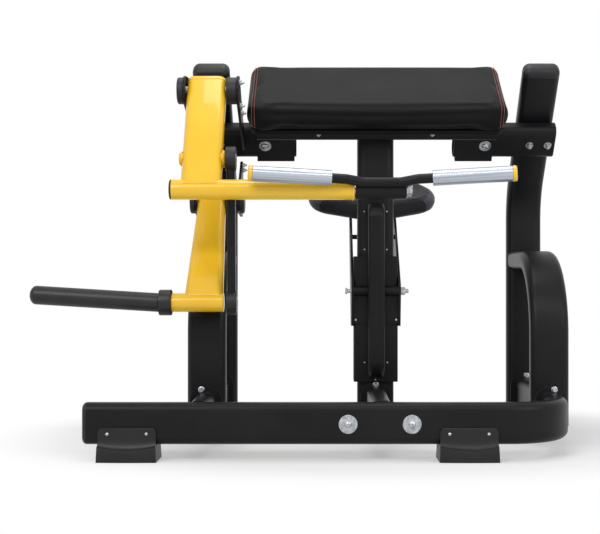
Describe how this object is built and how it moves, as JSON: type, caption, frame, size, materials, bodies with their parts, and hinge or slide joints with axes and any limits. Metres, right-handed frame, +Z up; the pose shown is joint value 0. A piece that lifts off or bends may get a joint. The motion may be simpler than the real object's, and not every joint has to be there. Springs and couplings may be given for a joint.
{
  "type": "plate-loaded seated biceps machine",
  "caption": "Plate-loaded seated biceps machine: tubular steel frame, sloped arm pad, sliding seat, and a yellow curl lever linked to a weight arm with one horn.",
  "frame": {"origin": "on the floor, at the middle of the column's foot plate", "axes": "+X to the right of the person looking at the front tube, +Y from the front tube towards the seat, +Z up"},
  "size_m": [1.6686, 1.0048, 1.2231],
  "materials": {
    "black_paint": "satin powder coat",
    "yellow_paint": "gloss",
    "black_rubber": "matte",
    "black_plastic": "satin",
    "pad_leather": "fine grain, satin",
    "seat_leather": "fine grain, satin",
    "zinc": "zinc plated",
    "grip_alloy": "brushed, grooved lengthwise",
    "plywood": "raw"
  },
  "bodies": {
    "frame": {"arm_pad": "pad_leather", "arm_pad_board": "plywood", "centre_base_tube": "black_paint", "column": "black_paint", "column_brace": "black_paint", "front_base_tube": "black_paint", "front_tube_plug": "black_plastic", "left_base_tube": "black_paint", "left_crossbar": "black_paint", "left_elbow_housing": "black_plastic", "left_elbow_plate": "black_paint", "left_front_bolt": "zinc", "left_front_foot": "black_rubber", "left_leg": "black_paint", "left_pad_bolt": "zinc", "left_rear_foot": "black_rubber", "left_side_tube": "black_paint", "left_upright": "black_paint", "left_upright_cap": "black_plastic", "left_weight_housing": "black_plastic", "pad_carrier": "black_paint", "right_crossbar": "black_paint", "right_elbow_housing": "black_plastic", "right_elbow_plate": "black_paint", "right_front_bolt": "zinc", "right_front_foot": "black_rubber", "right_leg": "black_paint", "right_pad_bolt": "zinc", "right_rear_foot": "black_rubber", "right_side_tube": "black_paint", "right_upright": "black_paint", "right_upright_cap": "black_plastic", "right_weight_housing": "black_plastic", "slide_shroud": "black_paint", "weight_axle": "zinc", "weight_axle_cap": "black_plastic", "weight_bracket": "black_paint"},
    "curl_arm": {"handle_arm": "yellow_paint", "handle_tube": "yellow_paint", "handle_tube_plug": "black_plastic", "link_pin": "yellow_paint", "handle_spindle": "zinc", "elbow_axle": "zinc"},
    "handle": {"handle_boss": "black_paint", "handle_nut": "zinc", "handle_bar": "black_paint", "left_grip": "grip_alloy", "right_grip": "grip_alloy", "left_grip_cap": "yellow_paint", "right_grip_cap": "yellow_paint"},
    "link": {"link_bar": "black_paint"},
    "weight_lever": {"weight_arm": "yellow_paint", "horn_tube": "yellow_paint", "horn_collar": "black_rubber", "weight_horn": "black_rubber"},
    "seat": {"seat_carriage": "black_paint", "seat_bolt": "zinc", "seat_nut": "zinc", "seat_pan": "black_plastic", "seat_cushion": "seat_leather"}
  },
  "joints": [
    {"name": "curl", "type": "hinge", "parent": "frame", "child": "curl_arm", "pos_m": [-0.532, -0.24, 1.103], "axis": [-1, 0, 0], "range_deg": [0, 100]},
    {"name": "handle_swivel", "type": "hinge", "parent": "curl_arm", "child": "handle", "pos_m": [0, -0.4236, 0.785], "axis": [-1, 0, 0], "range_deg": [-35, 35]},
    {"name": "link_top", "type": "hinge", "parent": "curl_arm", "child": "link", "pos_m": [-0.4475, -0.36875, 0.88], "axis": [-1, 0, 0], "range_deg": [-92, 0]},
    {"name": "weight_swing", "type": "hinge", "parent": "frame", "child": "weight_lever", "pos_m": [-0.528, -0.11, 0.77], "axis": [-1, 0, 0], "range_deg": [0, 67]},
    {"name": "seat_slide", "type": "slide", "parent": "frame", "child": "seat", "axis": [0, 0, 1], "range_m": [0, 0.1]}
  ],
  "couplings": [
    {"joint": "weight_swing", "follows": "curl", "ratio": 0.67},
    {"joint": "link_top", "follows": "curl", "ratio": -0.9139}
  ]
}
